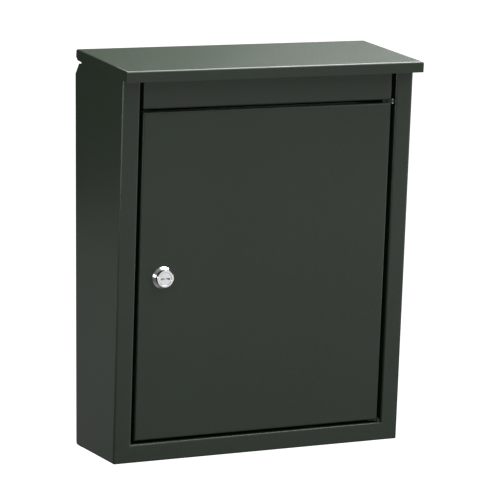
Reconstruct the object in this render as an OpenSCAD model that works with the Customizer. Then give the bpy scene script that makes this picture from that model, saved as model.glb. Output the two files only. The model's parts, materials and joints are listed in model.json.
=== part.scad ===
// Wall mounted mailbox: a folded sheet steel cabinet with a lift-up lid and a locking front door.
// +X is to the right as seen from the front, the wall is the plane Y = 0, the front faces -Y and +Z is up.
// The origin is the centre of the four wall-screw holes, on the rear face. All sizes are in millimetres.

/* [Body] */
// Width over the side panels
body_w = 322; // [282:5:382]
// Depth from the wall to the foot of the front face
body_d = 102.5; // [95:0.5:110]
// Forward lean of the front face in degrees
front_lean = 3.9; // [3.5:0.1:4.2]
// Thickness of the sheet
sheet_t = 1.2; // [1:0.1:1.3]
// Outside radius of a bend in the sheet
bend_r = 2.2; // [2:0.1:2.6]

/* [Front frame] */
// Width of a stile beside the door
stile_w = 19; // [17:1:23]
// Height of the bottom rail
rail_h = 19.3; // [17:0.1:22]
// Depth of the folded returns around the opening
return_d = 15; // [14:0.5:17]
// Gap between the door and a stile
side_gap = 4; // [4:0.1:4.6]
// Gap above and below the door
door_gap = 3; // [3:0.1:4]

/* [Lid] */
// Height of the lid's front edge above the bottom
lid_front_h = 402.2; // [399.2:1:420.2]
// Distance from the wall to the lid's front edge
lid_reach = 146.3; // [144:0.1:152]
// Gap between the wall and the lid's rear edge
lid_rear_gap = 10; // [9.5:0.1:11]
// Slope of the lid towards the front in degrees
lid_slope = 4.9; // [4.7:0.1:5.2]
// Overhang of the lid beyond each side panel
lid_overhang = 2.9; // [2.9:0.1:3.4]
// Depth of the flange around the lid
lip_h = 11.2; // [10.8:0.1:12.5]

/* [Door] */
// Height of the door
door_h = 337.4; // [318:0.2:337.4]
// Depth of the folded door tray
door_d = 12.5; // [11:0.5:12.5]
// Distance of the door's face behind the frame's face
recess = 1.5; // [1.2:0.1:1.5]

/* [Lock] */
// Distance of the lock's axis from the door's left edge
lock_inset = 26; // [24:1:30]
// Radius of the bezel
bezel_r = 11.5; // [11:0.5:13]
// Height of the lock's head in front of the door
head_h = 7.5; // [5:0.5:9]

/* [Wall screws] */
// Spacing of the wall-screw holes across
screw_dx = 220; // [160:10:240]
// Spacing of the wall-screw holes up and down
screw_dz = 270; // [200:10:290]
// Radius of a wall-screw hole
screw_r = 3.5; // [2.5:0.5:4.5]
// Height of the pattern's centre above the bottom
screw_centre_h = 200; // [190:5:210]

/* [Hidden] */
$fn = 48;

paint = [0.20, 0.23, 0.20];
zinc = [0.72, 0.73, 0.74];
chrome = [0.85, 0.86, 0.88];
rubber = [0.06, 0.06, 0.06];
nylon = [0.10, 0.10, 0.10];

far = 600;                // longer than the whole cabinet, for cuts
bend_n = 6;               // steps in a quarter bend
run_fit = 0.05;           // radial clearance of a turning pair
half_w = body_w / 2;
inner_half = half_w - sheet_t;
open_half = half_w - stile_w;
door_half = open_half - side_gap;
door_z0 = rail_h + door_gap;
door_z1 = door_z0 + door_h;
floor_lip = 12;           // width of the flanges under the floor

// Lid
lid_rise = lid_reach - lid_rear_gap;
lid_len = lid_rise / cos(lid_slope);
lid_rear_z = lid_front_h + lid_rise * tan(lid_slope);
lid_half = half_w + lid_overhang;
lid_inner_half = lid_half - sheet_t;
hem = 6;                  // inward fold of the front flange
rear_flange_h = 8;
rear_flange_half = inner_half - 2.8;
corner_clip = 4.5;        // clipped corner at the rear of a side flange

// Pivot of the lid, measured along the lid and below its top
pivot_in = 10.5;
pivot_drop = 5.3;
pivot_y = -lid_rear_gap - pivot_in * cos(lid_slope) + pivot_drop * sin(lid_slope);
pivot_z = lid_rear_z - pivot_in * sin(lid_slope) - pivot_drop * cos(lid_slope);
stud_r = 2;
panel_drop = sheet_t + 0.6;   // top edge of the side panels below the lid's top
ear_r = 3.6;
bearing_t = 2;
clip_t = 1;

// Rear corners of the cabinet seen from the side
heel_r = 4;
slant_low_z = lid_rear_z - 26;
slant_top = [-10, lid_rear_z - 15];
back_flange = 14;

// Folded band above the door
band_z0 = door_z1 + door_gap;
band_d = return_d + 0.2 - recess;   // its rear edge stands 0.2 behind the returns
buffer_room = 2.6;        // height left for the lid's buffers
band_h = lid_under(recess) - buffer_room - band_z0;

// Door stops
stop_h = 60;              // distance of a stop from the door's end
stop_y = return_d + 1;    // depth of the stop tabs behind the frame's face

// Door hinge, in the frame of the front face
hinge_x = door_half + 1.5;
hinge_y = recess + 1.8;
pin_r = 1.2;
pin_head_r = 1.45;
hinge_plate_t = 1.2;
hinge_ear_r = 2.2;

// Lock, from the door's face inwards
lock_x = lock_inset - door_half;
lock_z = door_z0 + door_h / 2;
plug_r = 6.6;
head_r = bezel_r - 2.5;
barrel_r = 8;
barrel_l = band_d;
flat_x = 7.4;             // half width over the barrel's two flats
backing_t = 1.5;
nut_h = 4.5;
lock_washer_t = 1;
cam_t = 2;
cam_gap = 0.4;
cam_l = 40;
cam_w = 14;
shank = 7;                // side of the square that carries the cam
cam_washer_t = 1;
screw_r_cam = 2;
key_slot = [10, 1.8, 5];

// Y of the front face at a height, and the height at which it meets the side panels' top edge
function front_y(z) = -body_d - z * tan(front_lean);
front_top_z = (lid_rear_z + (lid_rear_gap - body_d) * tan(lid_slope) - panel_drop / cos(lid_slope))
  / (1 + tan(front_lean) * tan(lid_slope));

// Height along the front face at which the lid's underside is met, at a depth behind the face
function lid_under(depth) =
  (lid_rear_z - sheet_t / cos(lid_slope)
    + (lid_rear_gap - body_d + depth * cos(front_lean)) * tan(lid_slope) - depth * sin(front_lean))
  / (cos(front_lean) + sin(front_lean) * tan(lid_slope));

function arc(c, r, a0, a1, n = bend_n) =
  [for (i = [0:n]) let (a = a0 + (a1 - a0) * i / n) [c[0] + r * cos(a), c[1] + r * sin(a)]];

// From heights above the bottom edge to the part's frame
module place() {
  translate([0, 0, -screw_centre_h]) children();
}

// Frame of the leaning front face: X across, Y inwards from the face, Z up along it
module at_front() {
  place() translate([0, -body_d, 0]) rotate([front_lean, 0, 0]) children();
}

// Frame of the lid: Y backwards along the slope, Z out of its top, from its rear top edge
module at_lid() {
  place() translate([0, -lid_rear_gap, lid_rear_z]) rotate([lid_slope, 0, 0]) children();
}

// Frame of the lock: Z inwards along its axis, from the door's face, Y down
module at_lock() {
  at_front() translate([lock_x, recess, lock_z]) rotate([-90, 0, 0]) children();
}

module both_sides() {
  children();
  mirror([1, 0, 0]) children();
}

// The two door stops, near the ends of the door
module at_stops() {
  at_front() for (z = [door_z0 + stop_h, door_z1 - stop_h]) translate([0, 0, z]) children();
}

// Line through both lid pivots, from the right-hand pivot outwards, with Z along +X
module at_pivot(x) {
  place() translate([x, pivot_y, pivot_z]) rotate([0, 90, 0]) children();
}

module ring(outer, inner, h) {
  difference() {
    cylinder(r = outer, h = h);
    translate([0, 0, -1]) cylinder(r = inner, h = h + 2);
  }
}

// Extrudes a profile drawn in Y and Z along X, centred
module across(w) {
  rotate([90, 0, 90]) linear_extrude(w, center = true) children();
}

// Extrudes a profile drawn in X and Z along Y, centred
module along_y(l) {
  rotate([90, 0, 0]) linear_extrude(l, center = true) children();
}

// Profile of a channel that opens towards +Y, with bent corners at Y = 0
module channel(half, depth, r) {
  polygon(concat(
    [[-half, depth]],
    arc([-half + r, r], r, 180, 270),
    arc([half - r, r], r, 270, 360),
    [[half, depth]]
  ));
}

// Block with bent edges around its face: face at Y = 0, from Z = 0 to Z = h
module bent_block(half, h, depth, r) {
  intersection() {
    linear_extrude(h) channel(half, depth, r);
    translate([0, 0, h / 2]) rotate([0, 90, 0])
      linear_extrude(2 * half, center = true) channel(h / 2, depth, r);
  }
}

// Folded tray: a face at Y = 0 with four flanges
module tray(half, h, depth) {
  difference() {
    bent_block(half, h, depth, bend_r);
    translate([0, sheet_t, sheet_t])
      bent_block(half - sheet_t, h - 2 * sheet_t, depth, bend_r - sheet_t);
  }
}

// Outline of the cabinet seen from the side, in Y and Z
module side_outline() {
  toe = [front_y(0) + bend_r * (1 - sin(front_lean)) / cos(front_lean), bend_r];
  ear_top = 90 + lid_slope - acos((pivot_drop - panel_drop) / ear_r);
  polygon(concat(
    arc([-heel_r, heel_r], heel_r, 270, 360),
    [[0, slant_low_z], slant_top, [pivot_y + ear_r, slant_top[1]]],
    arc([pivot_y, pivot_z], ear_r, 0, ear_top),
    [[front_y(front_top_z), front_top_z]],
    arc(toe, bend_r, 180 + front_lean, 270)
  ));
}

// Space inside that outline, open at the rear and at the top
module side_hollow() {
  r = bend_r - sheet_t;
  foot = front_y(0) + sheet_t / cos(front_lean) - sheet_t * tan(front_lean);
  toe = [foot + r * (1 - sin(front_lean)) / cos(front_lean), sheet_t + r];
  polygon(concat(
    [[far, sheet_t], [far, far], [foot - (far - sheet_t) * tan(front_lean), far]],
    arc(toe, r, 180 + front_lean, 270)
  ));
}

// Outline seen from the front, with bent lower edges
module front_outline(half, z0, r) {
  translate([0, z0]) channel(half, far, r);
}

// Section of a folded return: U runs away from the opening, V inwards from the face
module return_section() {
  polygon(concat(
    [[0, return_d]],
    arc([bend_r, bend_r], bend_r, 180, 270),
    [[bend_r + 1, 0], [bend_r + 1, sheet_t]],
    arc([bend_r, bend_r], bend_r - sheet_t, 270, 180),
    [[sheet_t, return_d]]
  ));
}

// Return of the right stile, mitred at its foot
module stile_return() {
  difference() {
    translate([open_half, 0, 0]) linear_extrude(far) return_section();
    along_y(far) polygon([
      [open_half - rail_h, 2 * rail_h],
      [open_half + rail_h, 0],
      [open_half - rail_h, 0]
    ]);
  }
}

// Return of the bottom rail, mitred at both ends
module rail_return() {
  intersection() {
    translate([0, 0, rail_h]) rotate([0, 90, 0])
      linear_extrude(body_w, center = true) return_section();
    along_y(far) polygon([
      [-open_half - rail_h, 0],
      [open_half + rail_h, 0],
      [open_half - rail_h, 2 * rail_h],
      [rail_h - open_half, 2 * rail_h]
    ]);
  }
}

module cabinet_shell() {
  edge = bend_r + 0.5;
  flange_y = front_y(0) + floor_lip;
  color(paint) difference() {
    union() {
      difference() {
        intersection() {
          place() across(body_w + 2) side_outline();
          place() along_y(far) front_outline(half_w, 0, bend_r);
          at_front() translate([0, 0, -far]) linear_extrude(2 * far) channel(half_w, far, bend_r);
        }
        intersection() {
          place() across(body_w + 2) side_hollow();
          place() along_y(far) front_outline(inner_half, sheet_t, bend_r - sheet_t);
          at_front() translate([0, sheet_t, -far])
            linear_extrude(2 * far) channel(inner_half, far, bend_r - sheet_t);
        }
        at_front() translate([-open_half - edge, -1, rail_h - edge])
          cube([2 * (open_half + edge), sheet_t + 2, far]);
      }
      intersection() {
        place() across(body_w) side_outline();
        at_front() union() {
          both_sides() stile_return();
          rail_return();
        }
      }
    }
    both_sides() at_pivot(half_w - 10) cylinder(r = stud_r + run_fit, h = 20);
    at_front() translate([hinge_x, hinge_y, rail_h - 3]) cylinder(r = pin_r, h = 6);
    // opening over the floor flanges, and room for the back panel's own flange
    place() translate([floor_lip - inner_half, flange_y, -1])
      cube([2 * (inner_half - floor_lip), far, sheet_t + 2]);
    place() translate([-inner_half, -back_flange - 1, -1])
      cube([2 * inner_half, far, bend_r + 2]);
  }
}

// Section of the back panel in Y and Z: foot flange, wall sheet and the top bent forward
module back_section() {
  slant = atan2(-slant_top[0], slant_top[1] - slant_low_z);
  polygon(concat(
    [[-back_flange, 0]],
    arc([-heel_r, heel_r], heel_r, 270, 360),
    [[0, slant_low_z], slant_top],
    [[slant_top[0] - sheet_t * cos(slant), slant_top[1] - sheet_t * sin(slant)]],
    [[-sheet_t, slant_low_z - sheet_t * tan(slant / 2)]],
    arc([-heel_r, heel_r], heel_r - sheet_t, 360, 270),
    [[-back_flange, sheet_t]]
  ));
}

module back_panel() {
  side_h = slant_low_z - 4 * heel_r;
  color(paint) difference() {
    place() union() {
      across(2 * inner_half) back_section();
      both_sides() translate([inner_half - sheet_t, -back_flange, 2 * heel_r])
        cube([sheet_t, back_flange - sheet_t / 2, side_h]);
    }
    for (x = [-screw_dx / 2, screw_dx / 2], z = [-screw_dz / 2, screw_dz / 2])
      translate([x, 0, z]) rotate([90, 0, 0]) cylinder(r = screw_r, h = 3 * sheet_t, center = true);
  }
}

module floor_plate() {
  front = front_y(0) + 4;
  floor_half = half_w - bend_r - 0.1;
  drain_x = 90;
  color(paint) place() difference() {
    translate([-floor_half, front, sheet_t]) cube([2 * floor_half, -front - heel_r, sheet_t]);
    for (x = [-drain_x, 0, drain_x])
      translate([x, front / 2, 0]) cylinder(r = 2.5, h = 4 * sheet_t);
  }
}

module front_transom() {
  color(paint) at_front() translate([0, recess, band_z0]) tray(door_half, band_h, band_d);
}

module transom_brackets() {
  margin = 4;
  overlap = 12;
  y0 = recess + band_d;
  color(paint) at_front() both_sides() translate([0, 0, band_z0 + margin]) {
    translate([door_half - overlap, y0, 0])
      cube([inner_half - door_half + overlap, sheet_t, band_h - 2 * margin]);
    translate([inner_half - sheet_t, y0 + sheet_t / 2, 0])
      cube([sheet_t, overlap, band_h - 2 * margin]);
  }
}

// Flat hinge plate: a pad beside the door's right edge and an eye around the pin
module hinge_plate(hole_r) {
  pad_w = 9;
  pad_d = band_d - 3;
  linear_extrude(hinge_plate_t) difference() {
    union() {
      translate([door_half - pad_w, recess + bend_r]) square([pad_w, pad_d]);
      translate([door_half - pad_w / 2, hinge_y - hinge_ear_r / 2])
        square([hinge_x - door_half + pad_w / 2, hinge_ear_r + 1]);
      translate([hinge_x, hinge_y]) circle(r = hinge_ear_r);
    }
    translate([hinge_x, hinge_y]) circle(r = hole_r);
  }
}

module transom_hinge_plate() {
  color(paint) at_front() translate([0, 0, band_z0 - hinge_plate_t]) hinge_plate(pin_r);
}

module door_upper_hinge_plate() {
  color(paint) at_front() translate([0, 0, door_z1]) hinge_plate(pin_r + run_fit);
}

module door_lower_hinge_plate() {
  color(paint) at_front() translate([0, 0, door_z0 - hinge_plate_t]) hinge_plate(pin_r + run_fit);
}

// Rivet through the eyes of the two upper plates
module upper_hinge_pin() {
  head_t = 0.8;
  shank_h = band_z0 - door_z1 + hinge_plate_t;
  color(zinc) at_front() translate([hinge_x, hinge_y, door_z1 - hinge_plate_t]) {
    cylinder(r = pin_r, h = shank_h);
    translate([0, 0, shank_h]) cylinder(r1 = pin_head_r, r2 = pin_r, h = head_t);
  }
}

// Pin welded to the rail's return and painted with it
module lower_hinge_pin() {
  stand = 4.6;
  color(paint) at_front() translate([hinge_x, hinge_y, rail_h - sheet_t])
    cylinder(r = pin_r, h = sheet_t + stand);
}

module lower_hinge_washer() {
  play = 0.4;
  washer_h = door_gap - hinge_plate_t - play;
  color(nylon) at_front() translate([hinge_x, hinge_y, rail_h]) ring(hinge_ear_r, pin_r, washer_h);
}

module lid_bearing_plates() {
  plate_l = 16;
  plate_h = 14;
  color(paint) both_sides() difference() {
    intersection() {
      place() across(body_w) side_outline();
      place() translate([inner_half - bearing_t, pivot_y - plate_l, pivot_z - plate_h + ear_r])
        cube([bearing_t, plate_l + ear_r, plate_h]);
    }
    at_pivot(half_w - 10) cylinder(r = stud_r + run_fit, h = 20);
  }
}

module lid_buffers() {
  buffer_x = 100;
  buffer_y = 9;
  top = band_z0 + band_h;
  color(rubber) at_front() both_sides() translate([buffer_x, buffer_y, top])
    cylinder(r = 4.5, h = lid_under(buffer_y) - top - 0.45);
}

// Angle tab on the left stile's return, reaching behind the door's free edge
module stop_tab() {
  tab_h = 20;
  tab_w = 11;
  weld_l = 10;
  x0 = -open_half - 2 * sheet_t;
  translate([x0, stop_y - weld_l, -tab_h / 2]) cube([sheet_t, weld_l + sheet_t, tab_h]);
  translate([x0, stop_y, -tab_h / 2]) cube([tab_w, sheet_t, tab_h]);
}

module door_stop_tabs() {
  color(paint) at_stops() stop_tab();
}

module door_stop_buffers() {
  start = recess + door_d + 0.4;
  color(rubber) at_stops() translate([sheet_t / 2 - door_half, start, 0]) rotate([-90, 0, 0])
    cylinder(r = 3, h = stop_y - start);
}

module lid_cover() {
  color(paint) at_lid() difference() {
    union() {
      translate([0, -lid_len, 0]) rotate([-90, 0, 0]) tray(lid_half, lid_len, lip_h);
      translate([-lid_inner_half - 0.1, sheet_t / 2 - lid_len, -lip_h])
        cube([2 * lid_inner_half + 0.2, hem, sheet_t]);
    }
    // rear flange: shallower than the sides, and free of the side panels
    translate([-lid_inner_half, -bend_r, -far - rear_flange_h]) cube([2 * lid_inner_half, far, far]);
    both_sides() translate([rear_flange_half, -bend_r, -far - bend_r])
      cube([lid_inner_half - rear_flange_half, far, far]);
    // clipped rear corners of the side flanges
    across(body_w * 2) polygon([
      [1, -rear_flange_h + 1],
      [-corner_clip - 1, -lip_h - 1],
      [1, -lip_h - 1]
    ]);
  }
}

module lid_pivot_studs() {
  inner_end = inner_half - bearing_t - 2.4;
  color(zinc) both_sides() at_pivot(inner_end) cylinder(r = stud_r, h = lid_inner_half - inner_end);
}

module lid_spacer_washers() {
  play = 0.25;
  color(nylon) both_sides() at_pivot(half_w + play)
    ring(3.5, stud_r, lid_inner_half - half_w - 2 * play);
}

module lid_stud_clips() {
  color(zinc) both_sides() at_pivot(inner_half - bearing_t - 0.4 - clip_t) ring(4, stud_r, clip_t);
}

module door_panel() {
  color(paint) difference() {
    at_front() translate([0, recess, door_z0]) tray(door_half, door_h, door_d);
    at_lock() translate([0, 0, -1]) cylinder(r = barrel_r + 0.2, h = 4);
  }
}

module lock_backing_plate() {
  side = 40;
  color(zinc) at_lock() difference() {
    translate([-side / 2, -side / 2, sheet_t]) cube([side, side, backing_t]);
    cylinder(r = barrel_r + 0.1, h = 6);
  }
}

// Bezel, head and threaded barrel in one turned piece, bored for the plug
module lock_housing() {
  chamfer = 0.6;
  rim_h = 0.8;
  color(chrome) at_lock() difference() {
    rotate_extrude() polygon([
      [plug_r + run_fit, -head_h],
      [head_r - chamfer, -head_h],
      [head_r, -head_h + chamfer],
      [head_r, head_r - bezel_r - rim_h],
      [bezel_r, -rim_h],
      [bezel_r, 0],
      [barrel_r, 0],
      [barrel_r, barrel_l],
      [plug_r + run_fit, barrel_l]
    ]);
    for (side = [-1, 1])
      translate([side * (flat_x + 5), 0, sheet_t + 10]) cube([10, 4 * barrel_r, 20], center = true);
  }
}

module lock_washer() {
  color(zinc) at_lock() translate([0, 0, sheet_t + backing_t])
    ring(bezel_r - 1, barrel_r + run_fit, lock_washer_t);
}

module lock_nut() {
  corner = 12.5;
  color(zinc) at_lock() translate([0, 0, sheet_t + backing_t + lock_washer_t]) difference() {
    cylinder(r = corner, h = nut_h, $fn = 6);
    translate([0, 0, -1]) cylinder(r = barrel_r + run_fit, h = nut_h + 2);
  }
}

// Plug with the key slot in its face and a square shank for the cam
module lock_plug() {
  front = 0.3 - head_h;
  color(chrome) at_lock() difference() {
    union() {
      translate([0, 0, front]) cylinder(r = plug_r, h = barrel_l - front);
      translate([-shank / 2, -shank / 2, barrel_l - 1]) cube([shank, shank, 1 + cam_gap + cam_t]);
    }
    translate([-key_slot[0] / 2, -key_slot[1] / 2, front - 1])
      cube([key_slot[0], key_slot[1], key_slot[2] + 1]);
    translate([0, 0, barrel_l - 6]) cylinder(r = screw_r_cam, h = 20);
  }
}

// Cam lever: it hangs down when unlocked and swings behind the left stile when locked
module lock_cam() {
  color(zinc) at_lock() translate([0, 0, barrel_l + cam_gap]) linear_extrude(cam_t) difference() {
    union() {
      circle(r = cam_w / 2);
      polygon([
        [-cam_w / 2 + 0.6, 0],
        [cam_w / 2 - 0.6, 0],
        [cam_w / 2 - 0.6, cam_l - 4],
        [cam_w / 2 - 4, cam_l],
        [4 - cam_w / 2, cam_l],
        [0.6 - cam_w / 2, cam_l - 4]
      ]);
    }
    square(shank, center = true);
  }
}

module cam_washer() {
  color(zinc) at_lock() translate([0, 0, barrel_l + cam_gap + cam_t]) ring(5.5, screw_r_cam, cam_washer_t);
}

module cam_screw() {
  shank_l = 6;
  top = barrel_l + cam_gap + cam_t + cam_washer_t;
  color(zinc) at_lock() difference() {
    union() {
      translate([0, 0, top]) cylinder(r1 = 4, r2 = 3.4, h = 2.4);
      translate([0, 0, top - shank_l]) cylinder(r = screw_r_cam, h = shank_l + 0.5);
    }
    translate([-5, -0.5, top + 1.4]) cube([10, 1, 2]);
  }
}

cabinet_shell();
back_panel();
floor_plate();
front_transom();
transom_brackets();
transom_hinge_plate();
upper_hinge_pin();
lower_hinge_pin();
lower_hinge_washer();
lid_bearing_plates();
lid_buffers();
door_stop_tabs();
door_stop_buffers();
lid_cover();
lid_pivot_studs();
lid_spacer_washers();
lid_stud_clips();
door_panel();
door_upper_hinge_plate();
door_lower_hinge_plate();
lock_backing_plate();
lock_housing();
lock_washer();
lock_nut();
lock_plug();
lock_cam();
cam_washer();
cam_screw();
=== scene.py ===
"""Wall mounted mailbox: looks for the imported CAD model, in metres, in the CAD's own frame."""

import json
import math

import bmesh
import bpy
from mathutils import Matrix, Vector


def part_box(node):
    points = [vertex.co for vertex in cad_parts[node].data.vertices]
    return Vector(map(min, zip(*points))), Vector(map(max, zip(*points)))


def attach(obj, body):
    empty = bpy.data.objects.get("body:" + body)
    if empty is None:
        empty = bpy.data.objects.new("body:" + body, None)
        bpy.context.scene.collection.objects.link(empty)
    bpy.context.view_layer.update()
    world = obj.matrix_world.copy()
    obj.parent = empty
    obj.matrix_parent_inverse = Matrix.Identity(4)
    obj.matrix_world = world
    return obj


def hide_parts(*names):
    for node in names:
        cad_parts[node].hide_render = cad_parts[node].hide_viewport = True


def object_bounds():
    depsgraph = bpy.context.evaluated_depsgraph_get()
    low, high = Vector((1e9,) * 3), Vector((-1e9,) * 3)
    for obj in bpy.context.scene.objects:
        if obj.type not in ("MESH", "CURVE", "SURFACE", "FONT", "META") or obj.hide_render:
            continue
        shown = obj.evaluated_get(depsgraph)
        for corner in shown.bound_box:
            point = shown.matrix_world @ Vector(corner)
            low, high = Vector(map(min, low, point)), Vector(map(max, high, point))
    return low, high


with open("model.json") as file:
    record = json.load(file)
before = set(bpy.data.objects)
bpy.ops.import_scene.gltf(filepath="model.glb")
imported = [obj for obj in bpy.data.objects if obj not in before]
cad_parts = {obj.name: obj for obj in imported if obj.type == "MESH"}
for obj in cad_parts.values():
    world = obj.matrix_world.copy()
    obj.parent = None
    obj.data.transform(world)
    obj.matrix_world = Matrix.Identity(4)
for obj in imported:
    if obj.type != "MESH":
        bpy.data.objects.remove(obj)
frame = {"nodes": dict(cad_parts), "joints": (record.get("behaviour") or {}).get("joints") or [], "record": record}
cad_low, cad_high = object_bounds()

MM = 0.001

# ---------------------------------------------------------------- node helpers

COLOUR_A = 6
COLOUR_B = 7
COLOUR_RESULT = 2


class Tree:
    """Short way to make and join nodes."""

    def __init__(self, tree):
        self.tree = tree

    def feed(self, socket, value):
        """Links an input to another node's output, or sets its value."""
        if isinstance(value, bpy.types.NodeSocket):
            self.tree.links.new(value, socket)
        else:
            socket.default_value = value

    def add(self, kind, inputs=None, **settings):
        node = self.tree.nodes.new(kind)
        for name, value in settings.items():
            setattr(node, name, value)
        for name, value in (inputs or {}).items():
            self.feed(node.inputs[name], value)
        return node

    def math(self, operation, *values):
        node = self.add("ShaderNodeMath", operation=operation)
        for socket, value in zip(node.inputs, values):
            self.feed(socket, value)
        return node.outputs[0]

    def noise(self, coords, scale, detail=2.0, rough=0.5):
        """Noise with about scale features to the unit of coords."""
        inputs = {"Vector": coords, "Scale": scale, "Detail": detail, "Roughness": rough}
        return self.add("ShaderNodeTexNoise", inputs).outputs["Fac"]

    def remap(self, value, given, wanted, **settings):
        """Maps the range given to the range wanted, and holds the ends."""
        inputs = {"Value": value}
        inputs["From Min"], inputs["From Max"] = given
        inputs["To Min"], inputs["To Max"] = wanted
        return self.add("ShaderNodeMapRange", inputs, **settings).outputs["Result"]

    def mix(self, factor, a, b):
        """A colour between a, at factor 0, and b, at factor 1."""
        node = self.add("ShaderNodeMix", {"Factor": factor}, data_type="RGBA")
        self.feed(node.inputs[COLOUR_A], a)
        self.feed(node.inputs[COLOUR_B], b)
        return node.outputs[COLOUR_RESULT]

    def stretched(self, coords, scale):
        return self.add("ShaderNodeMapping", {"Vector": coords, "Scale": scale}).outputs["Vector"]

    def bump(self, height, distance, strength, under=None):
        """The normals of a relief that is distance metres deep, on top of the relief under it."""
        inputs = {"Height": height, "Distance": distance, "Strength": strength}
        if under:
            inputs["Normal"] = under
        return self.add("ShaderNodeBump", inputs).outputs["Normal"]


def new_material(name):
    material = bpy.data.materials.new(name)
    material.use_nodes = True
    tree = Tree(material.node_tree)
    shader = material.node_tree.nodes["Principled BSDF"]
    coords = tree.add("ShaderNodeTexCoord").outputs["Object"]
    return material, tree, shader, coords


def dress(tree, shader, tone, roughness, normal):
    for name, value in (("Base Color", tone), ("Roughness", roughness), ("Normal", normal)):
        tree.feed(shader.inputs[name], value)


# ---------------------------------------------------------------- materials

# The range that holds most values of a noise texture.
NOISE_RANGE = (0.3, 0.7)


def powder_coat():
    """Satin powder coat: dark green, with a fine orange peel and faint clouding."""
    material, tree, shader, coords = new_material("powder_coat")
    deep_green = (0.0215, 0.0370, 0.0200, 1)
    pale_green = (0.0245, 0.0410, 0.0230, 1)
    speck_green = (0.036, 0.051, 0.034, 1)
    cloud = tree.noise(coords, scale=9.0, detail=3.0)
    grain = tree.noise(coords, scale=420.0, detail=3.0, rough=0.6)
    tone = tree.mix(tree.remap(cloud, (0.35, 0.65), (0.0, 1.0)), deep_green, pale_green)
    tone = tree.mix(tree.remap(grain, (0.4, 0.7), (0.0, 0.5)), tone, speck_green)
    peel = tree.bump(tree.noise(coords, scale=330.0), distance=0.06 * MM, strength=0.5)
    fine = tree.noise(coords, scale=1500.0, detail=1.0)
    relief = tree.bump(fine, distance=0.01 * MM, strength=0.5, under=peel)
    dress(tree, shader, tone, tree.remap(grain, NOISE_RANGE, (0.30, 0.38)), relief)
    return material


def zinc_plate():
    """Bright zinc plating with a faint spangle and rubbed streaks."""
    material, tree, shader, coords = new_material("zinc_plate")
    shader.inputs["Metallic"].default_value = 1.0
    blotch = tree.noise(coords, scale=260.0, detail=3.0, rough=0.6)
    streak = tree.noise(tree.stretched(coords, (400.0, 400.0, 3000.0)), scale=1.0)
    tone = tree.mix(blotch, (0.46, 0.47, 0.50, 1), (0.68, 0.68, 0.67, 1))
    relief = tree.bump(streak, distance=0.01 * MM, strength=0.6)
    dress(tree, shader, tone, tree.remap(blotch, NOISE_RANGE, (0.24, 0.42)), relief)
    return material


def polished_chrome():
    """Chrome plating with hairline scratches."""
    material, tree, shader, coords = new_material("polished_chrome")
    shader.inputs["Metallic"].default_value = 1.0
    haze = tree.noise(coords, scale=500.0, detail=4.0, rough=0.6)
    hair = tree.noise(tree.stretched(coords, (900.0, 900.0, 9000.0)), scale=1.0, detail=1.0)
    tone = tree.mix(haze, (0.74, 0.76, 0.77, 1), (0.86, 0.87, 0.88, 1))
    relief = tree.bump(hair, distance=0.004 * MM, strength=0.5)
    dress(tree, shader, tone, tree.remap(haze, NOISE_RANGE, (0.12, 0.22)), relief)
    return material


def buffer_rubber():
    """Black moulded rubber with a dusty bloom."""
    material, tree, shader, coords = new_material("buffer_rubber")
    bloom = tree.noise(coords, scale=350.0, detail=4.0, rough=0.6)
    tone = tree.mix(bloom, (0.012, 0.012, 0.012, 1), (0.035, 0.035, 0.034, 1))
    relief = tree.bump(tree.noise(coords, scale=2200.0), distance=0.02 * MM, strength=0.6)
    dress(tree, shader, tone, tree.remap(bloom, NOISE_RANGE, (0.6, 0.85)), relief)
    return material


def black_nylon():
    """Black nylon, slightly waxy."""
    material, tree, shader, coords = new_material("black_nylon")
    cloud = tree.noise(coords, scale=300.0, detail=3.0)
    tone = tree.mix(cloud, (0.022, 0.022, 0.023, 1), (0.045, 0.045, 0.046, 1))
    relief = tree.bump(tree.noise(coords, scale=1800.0), distance=0.01 * MM, strength=0.4)
    dress(tree, shader, tone, tree.remap(cloud, NOISE_RANGE, (0.4, 0.55)), relief)
    return material


MATERIALS = {
    "painted_steel": powder_coat(),
    "zinc_steel": zinc_plate(),
    "lock_chrome": polished_chrome(),
    "buffer_rubber": buffer_rubber(),
    "washer_nylon": black_nylon(),
}

# ---------------------------------------------------------------- CAD nodes

# Edges that turn more than this are sharp; a bend's facets turn less.
EDGE_ANGLE = math.radians(35)
# Faces that turn less than this are one flat face.
FLAT_ANGLE = math.radians(0.2)
ROUND_SEGMENTS = 2
SAME_POINT = 0.002 * MM
# The shortest edge that rounding may leave.
SHORT_EDGE = 0.01 * MM
EDGE_WIDTH = {
    "painted_steel": 0.25 * MM,
    "zinc_steel": 0.15 * MM,
    "lock_chrome": 0.2 * MM,
    "buffer_rubber": 0.4 * MM,
    "washer_nylon": 0.1 * MM,
}


def smoothing_group():
    """Geometry nodes that drop the stored normals, then shade smooth across the bends only."""
    group = bpy.data.node_groups.new("smooth_bends", "GeometryNodeTree")
    for direction in ("INPUT", "OUTPUT"):
        group.interface.new_socket("Geometry", in_out=direction, socket_type="NodeSocketGeometry")
    tree = Tree(group)
    source = tree.add("NodeGroupInput").outputs[0]
    clean = tree.add("GeometryNodeRemoveAttribute", {"Geometry": source, "Name": "custom_normal"})
    faces = tree.add("GeometryNodeSetShadeSmooth", {"Geometry": clean.outputs[0]}, domain="FACE")
    angle = tree.add("GeometryNodeInputMeshEdgeAngle").outputs["Unsigned Angle"]
    soft = tree.add("FunctionNodeCompare", operation="LESS_THAN", data_type="FLOAT")
    tree.feed(soft.inputs[0], angle)
    tree.feed(soft.inputs[1], EDGE_ANGLE)
    inputs = {"Geometry": faces.outputs[0], "Shade Smooth": soft.outputs[0]}
    edges = tree.add("GeometryNodeSetShadeSmooth", inputs, domain="EDGE")
    tree.feed(tree.add("NodeGroupOutput").inputs[0], edges.outputs[0])
    return group


SMOOTHING = smoothing_group()


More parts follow.
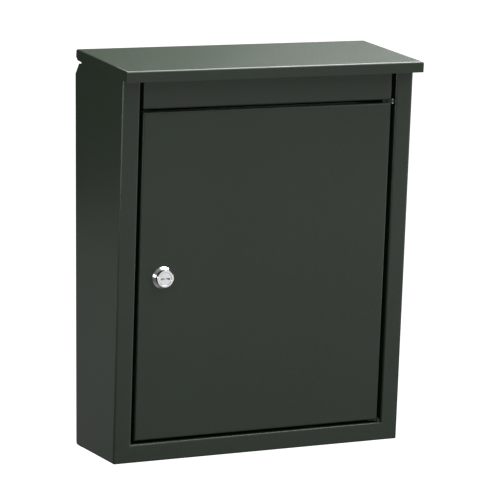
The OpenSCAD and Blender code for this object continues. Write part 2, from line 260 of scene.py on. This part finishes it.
def modify(obj, name, kind, **settings):
    modifier = obj.modifiers.new(name, kind)
    for setting, value in settings.items():
        setattr(modifier, setting, value)


def soften(obj, width):
    """Rounds sharp edges by width, as deburring and paint do, and drops the slivers that this leaves."""
    modify(obj, "weld", "WELD", merge_threshold=SAME_POINT)
    modify(obj, "flatten", "DECIMATE", decimate_type="DISSOLVE", angle_limit=FLAT_ANGLE)
    if width:
        modify(obj, "edge", "BEVEL", width=width, segments=ROUND_SEGMENTS,
               limit_method="ANGLE", angle_limit=EDGE_ANGLE)
        modify(obj, "collapse", "WELD", merge_threshold=SHORT_EDGE)
    modify(obj, "smooth", "NODES", node_group=SMOOTHING)
    modify(obj, "weigh", "WEIGHTED_NORMAL", keep_sharp=True)


def surface(obj, slot, width):
    """Gives a piece its slot's material and softens its edges."""
    obj.data.materials.clear()
    obj.data.materials.append(MATERIALS[slot])
    soften(obj, width)


slot_of = {entry["node"]: entry["material_slot"] for entry in frame["record"]["subparts"]}
for name, obj in frame["nodes"].items():
    surface(obj, slot_of[name], EDGE_WIDTH[slot_of[name]])

# ---------------------------------------------------------------- detail pieces

# Sides of a turned surface: of the lock and its nut, of the screw's head, and of small parts.
TURN_STEPS = 96
SCREW_STEPS = 64
SMALL_STEPS = 48

# Millimetres, the same as in the CAD. Heights in the lock run inwards from the door's face.
SHEET_T = 1.2
BACKING_T = 1.5
LOCK_WASHER_T = 1.0
HEAD_H = 7.5
HEAD_R = 9.0
BEZEL_R = 11.5
RIM_H = 0.8
BARREL_R = 8.0
BARREL_L = 13.7
THREAD_PITCH = 1.0
THREAD_DEPTH = 0.5
FLAT_X = 7.4
PLUG_R = 6.6
RUN_FIT = 0.05
SHANK = 7.0
CAM_GAP = 0.4
CAM_T = 2.0
CAM_WASHER_T = 1.0
SCREW_R = 2.0
NUT_H = 4.5
NUT_CORNER = 12.5
STUD_R = 2.0
CLIP_T = 1.0
CLIP_R = 4.0

# How far a cutting or joining solid runs past the face it works on.
OVERLAP = 1.0

joints = {joint["name"]: joint for joint in frame["joints"]}


def frame_at(origin, z_axis):
    """Matrix to the scene's metres from millimetres about origin, with Z along z_axis."""
    z = Vector(z_axis).normalized()
    x = Vector((1, 0, 0)) if abs(z.x) < 0.5 else Vector((0, 1, 0))
    y = z.cross(x)
    axes = Matrix((x, y, z)).transposed().to_4x4()
    return Matrix.Translation(origin) @ axes @ Matrix.Scale(MM, 4)


# The lock's own frame, and the directions up along the door and in through it.
LOCK = frame_at(joints["lock_turn"]["pos_m"], joints["lock_turn"]["axis"])
DOOR_UP = Vector(joints["door_hinge"]["axis"])
DOOR_IN = Vector(joints["lock_turn"]["axis"])


def arc(centre, radius, start, end, steps=4):
    """Points on an arc between two angles in degrees."""
    angles = (math.radians(start + (end - start) * i / steps) for i in range(steps + 1))
    return [(centre[0] + radius * math.cos(a), centre[1] + radius * math.sin(a)) for a in angles]


def turned(bm, profile, steps=TURN_STEPS):
    """Adds the solid that a closed profile of (r, z) sweeps about Z; r = 0 closes at the axis."""
    rings = []
    for r, z in profile:
        if r == 0:
            rings.append([bm.verts.new((0, 0, z))])
            continue
        angles = (2 * math.pi * i / steps for i in range(steps))
        rings.append([bm.verts.new((r * math.cos(a), r * math.sin(a), z)) for a in angles])
    for one, two in zip(rings, rings[1:] + rings[:1]):
        if len(one) == 1 and len(two) == 1:
            continue
        for i in range(steps):
            j = (i + 1) % steps
            corners = [one[i % len(one)], one[j % len(one)], two[j % len(two)], two[i % len(two)]]
            bm.faces.new(list(dict.fromkeys(corners)))


def prism(bm, outline, z0, z1):
    """Adds the solid between two heights on an outline of (x, y)."""
    low = [bm.verts.new((x, y, z0)) for x, y in outline]
    high = [bm.verts.new((x, y, z1)) for x, y in outline]
    bm.faces.new(low[::-1])
    bm.faces.new(high)
    for i in range(len(outline)):
        j = (i + 1) % len(outline)
        bm.faces.new((low[i], low[j], high[j], high[i]))


def mesh_object(name, bm, matrix):
    bmesh.ops.recalc_face_normals(bm, faces=bm.faces)
    mesh = bpy.data.meshes.new(name)
    bm.to_mesh(mesh)
    bm.free()
    mesh.transform(matrix)
    obj = bpy.data.objects.new(name, mesh)
    bpy.context.scene.collection.objects.link(obj)
    return obj


def lock_solid(name, build, *shape):
    """A solid in the lock's frame, where build is turned or prism."""
    bm = bmesh.new()
    build(bm, *shape)
    return mesh_object(name, bm, LOCK)


def combine(obj, tool, operation):
    """Cuts, joins or intersects obj with tool, and removes the tool."""
    modify(obj, "combine", "BOOLEAN", operation=operation, solver="EXACT", object=tool)
    solved = obj.evaluated_get(bpy.context.evaluated_depsgraph_get())
    result = bpy.data.meshes.new_from_object(solved)
    obj.modifiers.clear()
    obj.data = result
    bpy.data.objects.remove(tool)


def finish_piece(obj, body, slot, node, width=0.0):
    """Puts a detailed piece on its body, in the place of a CAD node."""
    surface(obj, slot, width)
    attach(obj, body)
    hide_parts(node)


def lock_housing():
    """Head, 45 degree bezel and threaded barrel with two flats."""
    bore = PLUG_R + RUN_FIT
    bore_chamfer = 0.15
    head_round = 0.6
    lip_round = 0.3
    lip_rise = 0.12
    root_r = BARREL_R - THREAD_DEPTH
    crest = (0.45 * THREAD_PITCH, 0.55 * THREAD_PITCH)
    profile = [(bore, bore_chamfer - HEAD_H), (bore + bore_chamfer, -HEAD_H)]
    profile += arc((HEAD_R - head_round, head_round - HEAD_H), head_round, -90, 0)
    profile += [(HEAD_R, HEAD_R - BEZEL_R - RIM_H)]
    profile += arc((BEZEL_R - lip_round, lip_rise - RIM_H), lip_round, -45, 0, 2)
    profile += [(BEZEL_R, 0), (root_r, 0), (root_r, SHEET_T)]
    for turn in range(int((BARREL_L - SHEET_T) / THREAD_PITCH)):
        root_z = SHEET_T + turn * THREAD_PITCH
        profile += [(BARREL_R, root_z + rise) for rise in crest]
        profile += [(root_r, root_z + THREAD_PITCH)]
    profile += [(root_r, BARREL_L), (bore, BARREL_L)]
    bm = bmesh.new()
    turned(bm, profile)
    for vert in bm.verts:
        if vert.co.z > SHEET_T and abs(vert.co.x) > FLAT_X:
            vert.co.x = math.copysign(FLAT_X, vert.co.x)
    obj = mesh_object("lock_head_and_barrel", bm, LOCK)
    finish_piece(obj, "door", "lock_chrome", "lock_housing")


def lock_plug():
    """Plug with a stepped keyway in its face, a square shank behind and a hole for the cam's screw."""
    recess = 0.3
    face = recess - HEAD_H
    face_round = 0.2
    profile = [(0, face)] + arc((PLUG_R - face_round, face + face_round), face_round, -90, 0, 3)
    profile += [(PLUG_R, BARREL_L), (0, BARREL_L)]
    obj = lock_solid("lock_plug_face", turned, profile)

    half = SHANK / 2
    corner = 0.8
    square = [(half, corner - half), (half, half - corner), (half - corner, half), (corner - half, half)]
    square += [(-x, -y) for x, y in square]
    shank = lock_solid("shank", prism, square, BARREL_L - OVERLAP, BARREL_L + CAM_GAP + CAM_T)
    combine(obj, shank, "UNION")

    keyway_depth = 5.0
    outline = [(-5, -0.9), (-1.6, -0.9), (-1.2, -0.3), (1.0, -0.3), (1.4, -0.9), (5, -0.9)]
    outline += [(5, 0.9), (2.6, 0.9), (2.2, 0.3), (-2.6, 0.3), (-3.0, 0.9), (-5, 0.9)]
    keyway = lock_solid("keyway", prism, outline, face - OVERLAP, face + keyway_depth)
    combine(obj, keyway, "DIFFERENCE")

    hole_depth = 6.0
    start = BARREL_L - hole_depth
    end = BARREL_L + CAM_GAP + CAM_T + OVERLAP
    profile = [(0, start), (SCREW_R, start), (SCREW_R, end), (0, end)]
    combine(obj, lock_solid("screw_hole", turned, profile, SMALL_STEPS), "DIFFERENCE")
    finish_piece(obj, "lock", "lock_chrome", "lock_plug")


def lock_nut():
    """Hexagon nut with chamfered corners."""
    low = SHEET_T + BACKING_T + LOCK_WASHER_T
    high = low + NUT_H
    bore = BARREL_R + RUN_FIT
    bore_chamfer = 0.5
    corner_chamfer = 0.9
    face_r = NUT_CORNER - 2 * corner_chamfer
    obj = lock_solid("lock_hexagon_nut", prism, arc((0, 0), NUT_CORNER, 0, 300, 5), low, high)
    profile = [(bore + bore_chamfer, low), (face_r, low), (NUT_CORNER, low + corner_chamfer)]
    profile += [(NUT_CORNER, high - corner_chamfer), (face_r, high), (bore + bore_chamfer, high)]
    profile += [(bore, high - bore_chamfer), (bore, low + bore_chamfer)]
    combine(obj, lock_solid("nut_blank", turned, profile), "INTERSECT")
    finish_piece(obj, "door", "zinc_steel", "lock_nut")


def cam_screw():
    """Domed screw with a straight slot."""
    seat = BARREL_L + CAM_GAP + CAM_T + CAM_WASHER_T
    shaft_l = 6.0
    end = seat - shaft_l
    end_chamfer = 0.3
    head_r = 4.0
    head_h = 2.4
    head_top = seat + head_h
    head_round = 1.2
    profile = [(0, end), (SCREW_R - end_chamfer, end), (SCREW_R, end + end_chamfer)]
    profile += [(SCREW_R, seat), (head_r, seat)]
    profile += arc((head_r - head_round, head_top - head_round), head_round, 0, 90, 5)
    profile += [(0, head_top)]
    obj = lock_solid("cam_screw_head", turned, profile, SCREW_STEPS)

    slot_x = head_r + OVERLAP
    slot_y = 0.5
    slot_depth = 1.0
    outline = [(-slot_x, -slot_y), (slot_x, -slot_y), (slot_x, slot_y), (-slot_x, slot_y)]
    slot = lock_solid("screw_slot", prism, outline, head_top - slot_depth, head_top + OVERLAP)
    combine(obj, slot, "DIFFERENCE")
    finish_piece(obj, "lock", "zinc_steel", "cam_screw")


def halves(node, side):
    """The points of a node's two parts, split at the middle of its box across the axis number side."""
    low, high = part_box(node)
    middle = (low[side] + high[side]) / 2
    points = [vert.co.copy() for vert in frame["nodes"][node].data.vertices]
    return [[p for p in points if p[side] < middle], [p for p in points if p[side] >= middle]]


def domed_buffers(name, node, side, axis, collar_h):
    """Moulded buffers with a collar at the foot and a domed end, in the place of a node's two cylinders."""
    collar_step = 0.5
    collar_slope = 0.3
    dome_h = 0.9
    bm = bmesh.new()
    for points in halves(node, side):
        centre = sum(points, Vector()) / len(points)
        offsets = [point - centre for point in points]
        heights = [offset.dot(axis) for offset in offsets]
        foot = centre + axis * min(heights)
        length = (max(heights) - min(heights)) / MM
        radius = max((offset - axis * rise).length for offset, rise in zip(offsets, heights)) / MM
        neck = radius - collar_step
        profile = [(0, 0), (radius, 0), (radius, collar_h), (neck, collar_h + collar_slope)]
        dome = arc((0, 0), 1, 0, 90, 6)
        profile += [(neck * x, length - dome_h * (1 - y)) for x, y in dome[:-1]] + [(0, length)]
        before = len(bm.verts)
        turned(bm, profile, SMALL_STEPS)
        bm.verts.ensure_lookup_table()
        bmesh.ops.transform(bm, matrix=frame_at(foot, axis), verts=bm.verts[before:])
    finish_piece(mesh_object(name, bm, Matrix.Identity(4)), "cabinet", "buffer_rubber", node)


def stud_clips():
    """Open retaining clips with three prongs that grip the lid's studs."""
    pivot = Vector(joints["lid_hinge"]["pos_m"]) / MM
    low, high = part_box("lid_stud_clips")
    # Half the angle of the open side, and the radius between the prongs.
    mouth = 24
    relief_r = 2.8
    edge_width = 0.1 * MM
    inner_arcs = (
        (360 - mouth, 318, STUD_R),
        (306, 210, relief_r),
        (198, 162, STUD_R),
        (150, 54, relief_r),
        (42, mouth, STUD_R),
    )
    outline = arc((0, 0), CLIP_R, mouth, 360 - mouth, 40)
    for start, end, radius in inner_arcs:
        outline += arc((0, 0), radius, start, end, 8)
    bm = bmesh.new()
    for x0 in (low.x / MM, high.x / MM - CLIP_T):
        prism(bm, outline, x0, x0 + CLIP_T)
    # The outline's x and y run up and in, and the prisms run along the studs.
    to_pivot = Matrix(((0, 0, 1, 0), (0, 1, 0, pivot.y), (1, 0, 0, pivot.z), (0, 0, 0, 1)))
    obj = mesh_object("lid_retaining_clips", bm, Matrix.Scale(MM, 4) @ to_pivot)
    finish_piece(obj, "lid", "zinc_steel", "lid_stud_clips", edge_width)


lock_housing()
lock_plug()
lock_nut()
cam_screw()
stud_clips()
domed_buffers("lid_rubber_buffers", "lid_buffers", side=0, axis=DOOR_UP, collar_h=0.6)
domed_buffers("door_rubber_buffers", "door_stop_buffers", side=2, axis=-DOOR_IN, collar_h=0.5)

# ---------------------------------------------------------------- stage, light and camera

FLOOR_HALF = 60.0
FLOOR_DROP = 1.2

# The surround's strength at the horizon in front and behind, and its gain straight above and below.
WORLD_FRONT = 0.15
WORLD_REAR = 0.05
WORLD_RISE = 0.25
# The Y of the directions between which the front strength turns into the rear one.
WORLD_TURN = (-0.8, -0.1)

# Each light's place, the point it faces, its width and height, all in metres, and its watts.
SOFT_BOXES = {
    "overhead": ((0.85, 0.3, 1.7), (0, 0, 0.2), (1.9, 1.6), 95.0),
    "front_top": ((1.1, -1.6, 1.6), (0, -0.1, 0), (1.4, 1.6), 15.0),
    "top_glint": ((0.4, -0.65, 1.6), (-0.11, -0.12, 0), (1.5, 0.6), 4.0),
    "front_right": ((1.9, -1.5, -0.5), (0, 0, 0), (0.8, 0.8), 7.5),
    "front_fill": ((-0.3, -2.4, -0.8), (0, 0, 0), (0.8, 0.8), 4.0),
    "front_low": ((0.75, -2.1, -0.5), (0, -0.1, 0), (0.7, 0.7), 1.15),
    "left": ((-0.85, -0.15, 0.1), (-0.16, -0.1, 0.15), (0.2, 0.2), 1.5),
    "left_glint": ((-0.508, -0.327, 0.038), (-0.11, -0.12, 0), (0.12, 0.12), 0.2),
    "low_left": ((-0.6, 0.9, -0.3), (-0.16, -0.05, -0.15), (0.7, 0.4), 0.21),
    "back_right": ((1.4, 1.6, 0.75), (0, 0, 0.2), (1.2, 0.9), 0.95),
}

# The camera's direction from the object and its roll, the point it faces, its distance, and its lens.
AZIMUTH = math.radians(-24.71)
ELEVATION = math.radians(8.67)
ROLL = math.radians(0.39)
AIM = Vector((0.0320, -0.0102, -0.0043))
DISTANCE = 3.1
LENS = 211.4
SENSOR = 36.0


def floor_material():
    """Pale and evenly lit, with a faint change of tone."""
    material, tree, shader, coords = new_material("pale_floor")
    cloud = tree.noise(coords, scale=0.8)
    tone = tree.mix(cloud, (0.86, 0.86, 0.86, 1), (0.89, 0.89, 0.885, 1))
    tree.feed(shader.inputs["Base Color"], tone)
    shader.inputs["Roughness"].default_value = 0.9
    shader.inputs["Emission Color"].default_value = (1, 1, 1, 1)
    shader.inputs["Emission Strength"].default_value = 1.0
    return material


def studio_floor():
    """A wide floor below the mailbox, which sends no light to it."""
    half = FLOOR_HALF
    corners = [(-half, -half, 0), (half, -half, 0), (half, half, 0), (-half, half, 0)]
    mesh = bpy.data.meshes.new("floor")
    mesh.from_pydata(corners, [], [(0, 1, 2, 3)])
    mesh.materials.append(floor_material())
    floor = bpy.data.objects.new("floor", mesh)
    bpy.context.scene.collection.objects.link(floor)
    floor.location = (0, 0, cad_low.z - FLOOR_DROP)
    floor.visible_glossy = False
    floor.visible_diffuse = False
    floor.visible_shadow = False


def soft_box(name, place, target, size, power):
    """A soft rectangular light, out of sight of the camera."""
    light = bpy.data.lights.new(name, "AREA")
    light.shape = "RECTANGLE"
    light.size, light.size_y = size
    light.energy = power
    obj = bpy.data.objects.new(name, light)
    bpy.context.scene.collection.objects.link(obj)
    obj.location = place
    obj.rotation_euler = (Vector(target) - Vector(place)).to_track_quat("-Z", "Y").to_euler()
    obj.visible_camera = False


def studio_world():
    """A soft surround, brighter in front, and brighter towards the top and the bottom."""
    world = bpy.data.worlds.new("studio")
    bpy.context.scene.world = world
    world.use_nodes = True
    tree = Tree(world.node_tree)
    direction = tree.add("ShaderNodeTexCoord").outputs["Generated"]
    parts = tree.add("ShaderNodeSeparateXYZ", {"Vector": direction}).outputs
    levels = (WORLD_FRONT, WORLD_REAR)
    level = tree.remap(parts["Y"], WORLD_TURN, levels, interpolation_type="SMOOTHSTEP")
    height = tree.math("MULTIPLY", parts["Z"], parts["Z"])
    background = world.node_tree.nodes["Background"]
    background.inputs["Color"].default_value = (1, 1, 1, 1)
    tree.feed(background.inputs["Strength"], tree.math("MULTIPLY_ADD", height, WORLD_RISE, level))


def studio_camera():
    data = bpy.data.cameras.new("camera")
    data.lens = LENS
    data.sensor_width = SENSOR
    camera = bpy.data.objects.new("camera", data)
    bpy.context.scene.collection.objects.link(camera)
    back = Vector((
        math.sin(AZIMUTH) * math.cos(ELEVATION),
        -math.cos(AZIMUTH) * math.cos(ELEVATION),
        math.sin(ELEVATION),
    ))
    turn = Matrix.Rotation(AZIMUTH, 4, "Z") @ Matrix.Rotation(math.pi / 2 - ELEVATION, 4, "X")
    turn = turn @ Matrix.Rotation(ROLL, 4, "Z")
    camera.matrix_world = Matrix.Translation(AIM + back * DISTANCE) @ turn
    bpy.context.scene.camera = camera


studio_floor()
studio_world()
for name, (place, target, size, power) in SOFT_BOXES.items():
    soft_box(name, place, target, size, power)
studio_camera()
bpy.context.scene.view_settings.view_transform = "Standard"
